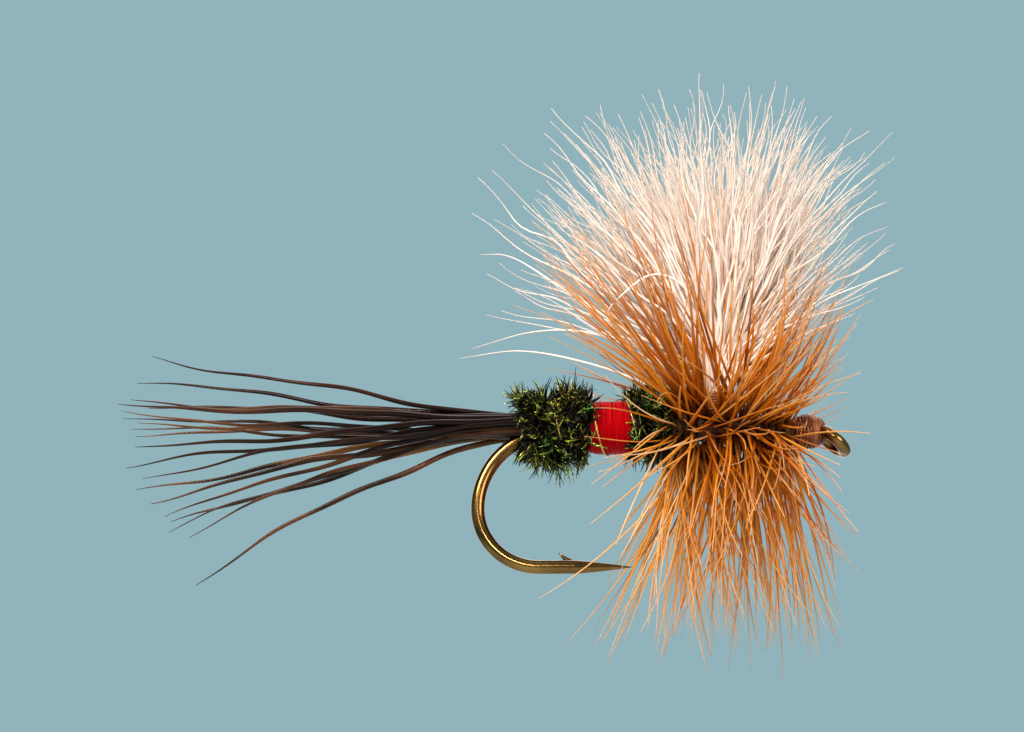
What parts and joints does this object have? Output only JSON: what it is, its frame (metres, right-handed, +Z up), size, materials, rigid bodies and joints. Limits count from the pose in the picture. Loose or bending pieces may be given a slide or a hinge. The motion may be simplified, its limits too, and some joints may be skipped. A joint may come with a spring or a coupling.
{
  "type": "dry fly",
  "caption": "Floating fishing fly: upright divided hair wing, wound hackle collar, banded body and hair tail on a barbed hook with a turned-down eye.",
  "frame": {"origin": "centre of the hook's eye ring, on the fly's mid-plane", "axes": "+X along the hook shank, from the bend towards the eye; +Z up, the way the wing stands; +Y to the fly's left when looking along +X"},
  "size_m": [0.0283, 0.0188, 0.0225],
  "materials": {
    "hook_bronze": "bronze lacquer on steel wire, glossy, warm brown-gold",
    "thread_brown": "waxed tying thread, rusty brown, fine wraps",
    "moose_hair": "stiff body hair, dark brown to black, glossy",
    "herl_green": "wound herl, black-olive with green and bronze glints",
    "floss_red": "silk floss, saturated red, fine wound fibres, slight sheen",
    "calf_hair_white": "crinkly tail hair, creamy white",
    "hackle_brown": "cock hackle barbs, rusty orange-brown, glossy",
    "hackle_quill": "feather quill, dark brown",
    "rib_gold": "fine drawn wire, gold-ochre",
    "head_cement": "clear glossy cement"
  },
  "bodies": {
    "root": {"hook": "hook_bronze", "thread_base": "thread_brown", "tail_wraps": "thread_brown", "wing_butts": "calf_hair_white", "rear_herl_quills": "herl_green", "rear_herl_flue": "herl_green", "floss_band": "floss_red", "front_herl_quills": "herl_green", "front_herl_flue": "herl_green", "rib_wire": "rib_gold", "wing_left": "calf_hair_white", "wing_right": "calf_hair_white", "wing_post_left": "thread_brown", "wing_post_right": "thread_brown", "wing_crossing_wraps": "thread_brown", "wing_dam": "thread_brown", "rear_hackle_stem": "hackle_quill", "rear_hackle_barbs": "hackle_brown", "front_hackle_stem": "hackle_quill", "front_hackle_barbs": "hackle_brown", "thread_head": "thread_brown", "head_cement": "head_cement", "tail_hair_01": "moose_hair", "tail_hair_02": "moose_hair", "tail_hair_03": "moose_hair", "tail_hair_04": "moose_hair", "tail_hair_05": "moose_hair", "tail_hair_06": "moose_hair", "tail_hair_07": "moose_hair", "tail_hair_08": "moose_hair", "tail_hair_09": "moose_hair", "tail_hair_10": "moose_hair", "tail_hair_11": "moose_hair", "tail_hair_12": "moose_hair", "tail_hair_13": "moose_hair", "tail_hair_14": "moose_hair", "tail_hair_15": "moose_hair", "tail_hair_16": "moose_hair", "tail_hair_17": "moose_hair", "tail_hair_18": "moose_hair", "tail_hair_19": "moose_hair", "tail_hair_20": "moose_hair"}
  },
  "joints": []
}
